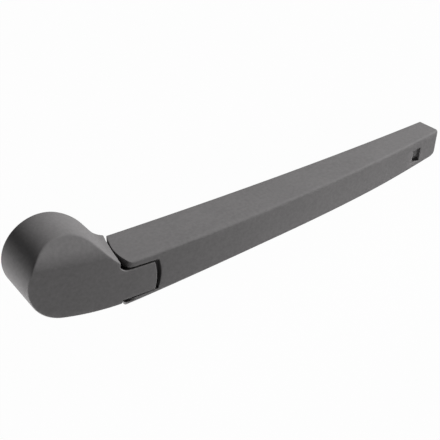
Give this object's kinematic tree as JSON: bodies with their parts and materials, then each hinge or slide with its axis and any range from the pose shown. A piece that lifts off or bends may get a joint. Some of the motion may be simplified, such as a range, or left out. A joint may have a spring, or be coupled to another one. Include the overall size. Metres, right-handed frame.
{
  "type": "rear window wiper arm",
  "caption": "Cranked plastic rear window wiper arm: round spindle head with flip-up cover, sprung hinged channel arm and a lock window for the blade near its tip.",
  "frame": {"origin": "on the spindle axis at the foot of the mounting head, where the spindle enters", "axes": "+X along the arm to its tip, +Z along the spindle away from the glass, +Y to the side the head stands out to"},
  "size_m": [0.2937, 0.0509, 0.0336],
  "materials": {
    "arm_plastic": "fine moulded grain, dark grey",
    "die_cast": "as cast",
    "steel": "zinc plated",
    "spring_steel": "oiled spring wire",
    "bronze": "sintered"
  },
  "bodies": {
    "head": {"mounting_head": "die_cast", "hinge_pin": "steel", "hook_pin": "steel"},
    "arm": {"arm_moulding": "arm_plastic", "hinge_bush_upper": "bronze", "hinge_bush_lower": "bronze", "spring_anchor_pin": "steel", "tension_spring": "spring_steel"},
    "cover": {"head_cover": "arm_plastic"}
  },
  "joints": [
    {"name": "arm_lift", "type": "hinge", "parent": "head", "child": "arm", "pos_m": [0.0375, -0.01585, 0.02645], "axis": [0, -1, 0], "range_deg": [0, 45], "stiffness_Nm_per_rad": 0.15, "springref_deg": -114.59, "deforming": ["tension_spring"]},
    {"name": "cover_flip", "type": "hinge", "parent": "head", "child": "cover", "pos_m": [0.0375, -0.01585, 0.02645], "axis": [0, 1, 0], "range_deg": [0, 40]}
  ]
}
